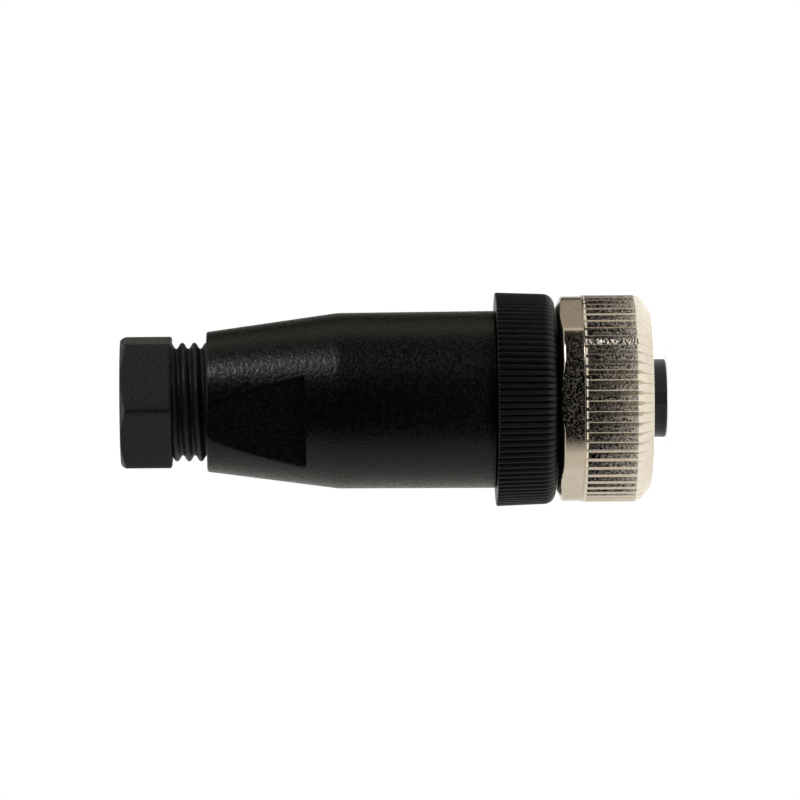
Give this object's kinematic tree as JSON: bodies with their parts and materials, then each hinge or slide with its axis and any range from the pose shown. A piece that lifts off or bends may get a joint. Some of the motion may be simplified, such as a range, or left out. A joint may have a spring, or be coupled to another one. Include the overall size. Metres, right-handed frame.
{
  "type": "m12 connector",
  "caption": "Straight round cable socket for field wiring, with a knurled union nut, tapered housing and screwed cable gland.",
  "frame": {"origin": "centre of the mating face, on which the connector stands", "axes": "+Z along the connector's axis from the mating face to the cable end, -Y towards the coding keyway"},
  "size_m": [0.0226, 0.0226, 0.0575],
  "materials": {
    "nickel_plate": "nickel-plated die casting, bright",
    "housing_plastic": "moulded, spark-textured",
    "gland_plastic": "moulded, satin",
    "insert_plastic": "moulded, fine satin",
    "contact_brass": "turned, gold flashed",
    "spring_steel": "bright steel",
    "seal_rubber": "moulded rubber",
    "cage_plastic": "moulded, natural"
  },
  "bodies": {
    "carrier": {"knurled_carrier": "housing_plastic", "socket_insert": "insert_plastic", "contact_1": "contact_brass", "contact_2": "contact_brass", "contact_3": "contact_brass", "contact_4": "contact_brass", "terminal_screw_1": "spring_steel", "terminal_screw_2": "spring_steel", "terminal_screw_3": "spring_steel", "terminal_screw_4": "spring_steel", "insert_lock_ring": "spring_steel", "face_seal": "seal_rubber", "body_seal": "seal_rubber"},
    "snap_ring": {"nut_snap_ring": "spring_steel"},
    "union_nut": {"coupling_nut": "nickel_plate"},
    "cable_seal": {"sealing_sleeve": "seal_rubber"},
    "shell": {"housing": "housing_plastic"},
    "gland_clamp": {"clamp_cage": "cage_plastic", "thrust_washer": "spring_steel"},
    "gland": {"gland_nut": "gland_plastic"}
  },
  "joints": [
    {"name": "nut_float", "type": "slide", "parent": "carrier", "child": "snap_ring", "axis": [0, 0, 1], "range_m": [-0.0011, 0]},
    {"name": "nut_turn", "type": "hinge", "parent": "snap_ring", "child": "union_nut", "pos_m": [0, 0, 0.0066], "axis": [0, 0, 1], "continuous": true},
    {"name": "housing_advance", "type": "slide", "parent": "carrier", "child": "cable_seal", "axis": [0, 0, 1], "range_m": [0, 0.00401]},
    {"name": "housing_turn", "type": "hinge", "parent": "cable_seal", "child": "shell", "pos_m": [0, 0, 0.0332], "axis": [0, 0, 1], "range_deg": [0, 1440]},
    {"name": "gland_advance", "type": "slide", "parent": "shell", "child": "gland_clamp", "axis": [0, 0, 1], "range_m": [-0.00318, 0.00382]},
    {"name": "gland_turn", "type": "hinge", "parent": "gland_clamp", "child": "gland", "pos_m": [0, 0, 0.0505], "axis": [0, 0, 1], "range_deg": [-900, 1080]}
  ],
  "couplings": [
    {"joint": "housing_advance", "follows": "housing_turn", "m_per_rad": 0.00015915},
    {"joint": "gland_advance", "follows": "gland_turn", "m_per_rad": 0.00020213}
  ]
}
